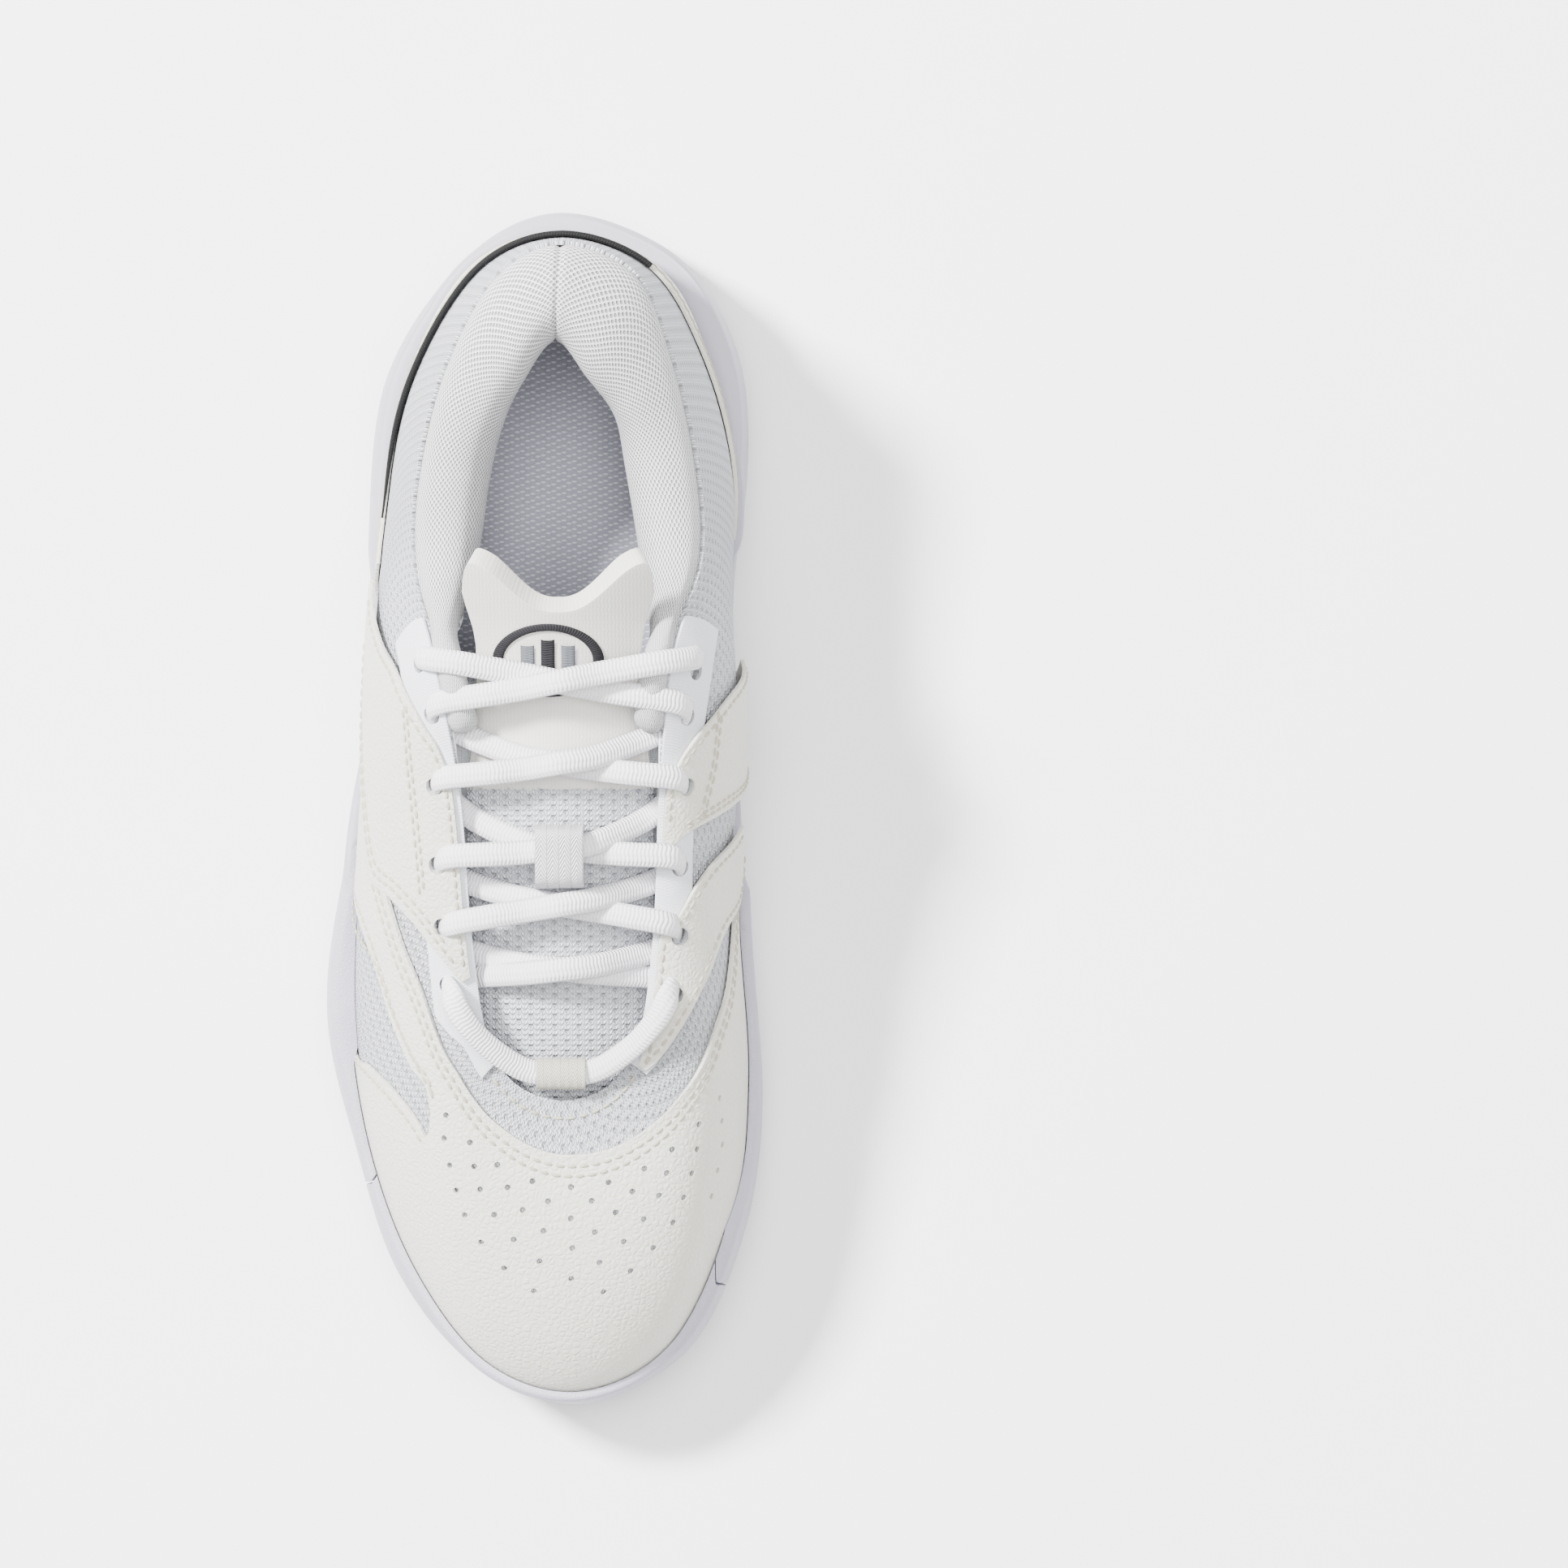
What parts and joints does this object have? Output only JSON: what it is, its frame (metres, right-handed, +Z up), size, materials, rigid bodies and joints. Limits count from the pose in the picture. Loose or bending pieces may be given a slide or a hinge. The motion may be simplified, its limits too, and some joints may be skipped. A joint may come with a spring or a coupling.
{
  "type": "court shoe",
  "caption": "Low white court shoe for the right foot, with mesh and leather upper, padded collar, laced tongue and herringbone sole.",
  "frame": {"origin": "centre of the footprint box, on the floor", "axes": "+Z up, +Y towards the heel, +X towards the medial side"},
  "size_m": [0.11, 0.2997, 0.1064],
  "materials": {
    "outsole_rubber": "matte moulded rubber",
    "midsole_foam": "matte moulded foam",
    "shank_plate": "plain moulded plate",
    "wall_rubber": "smooth moulded rubber",
    "board": "pressed fibre board",
    "insole_foam": "moulded foam",
    "insole_fabric": "dotted knit",
    "mesh": "knitted mesh",
    "leather": "fine grained leather",
    "facing_textile": "plain woven textile",
    "piping": "black braided edge",
    "stiffener": "pressed fibre sheet",
    "lining": "smooth lining",
    "counter_plastic": "moulded cup",
    "padding": "open cell foam",
    "collar_knit": "spacer mesh with small holes",
    "tongue_knit": "fine smooth knit",
    "badge_thread": "embroidery thread",
    "webbing": "herringbone webbing",
    "cream_webbing": "ribbed webbing",
    "lace_cord": "round braided cord",
    "tip_film": "clear film"
  },
  "bodies": {
    "root": {"outsole": "outsole_rubber", "midsole": "midsole_foam", "midfoot_shank": "shank_plate", "toe_guard": "wall_rubber", "lateral_outrigger": "wall_rubber", "medial_sidewall": "wall_rubber", "strobel_board": "board", "vamp_mesh": "mesh", "quarter_mesh_medial": "mesh", "quarter_mesh_lateral": "mesh", "toe_overlay": "leather", "lateral_panel": "leather", "medial_panel": "leather", "medial_eyestay": "leather", "lateral_eyestay": "leather", "medial_facing": "facing_textile", "lateral_facing": "facing_textile", "heel_overlay": "leather", "heel_piping": "piping", "toe_puff": "stiffener", "vamp_lining": "lining", "quarter_linings": "lining", "heel_counter": "counter_plastic", "collar_foam": "padding", "collar_lining": "collar_knit", "tongue_mesh": "mesh", "tongue_foam": "padding", "tongue_lining": "lining", "tongue_keeper": "webbing", "vamp_keeper": "cream_webbing", "lace": "lace_cord", "lace_tips": "tip_film"},
    "tongue_top": {"tongue_tab": "tongue_knit", "tongue_tab_foam": "padding", "tongue_badge": "badge_thread"},
    "sockliner": {"sockliner_foam": "insole_foam", "sockliner_cover": "insole_fabric"}
  },
  "joints": [
    {"name": "tongue_fold", "type": "hinge", "parent": "root", "child": "tongue_top", "pos_m": [0.005, 0.024, 0.0823], "axis": [1, 0, 0], "range_deg": [-18, 0], "stiffness_Nm_per_rad": 0.15},
    {"name": "sockliner_lift", "type": "hinge", "parent": "root", "child": "sockliner", "pos_m": [0, -0.14, 0.0226], "axis": [1, 0, 0], "range_deg": [0, 2]}
  ]
}
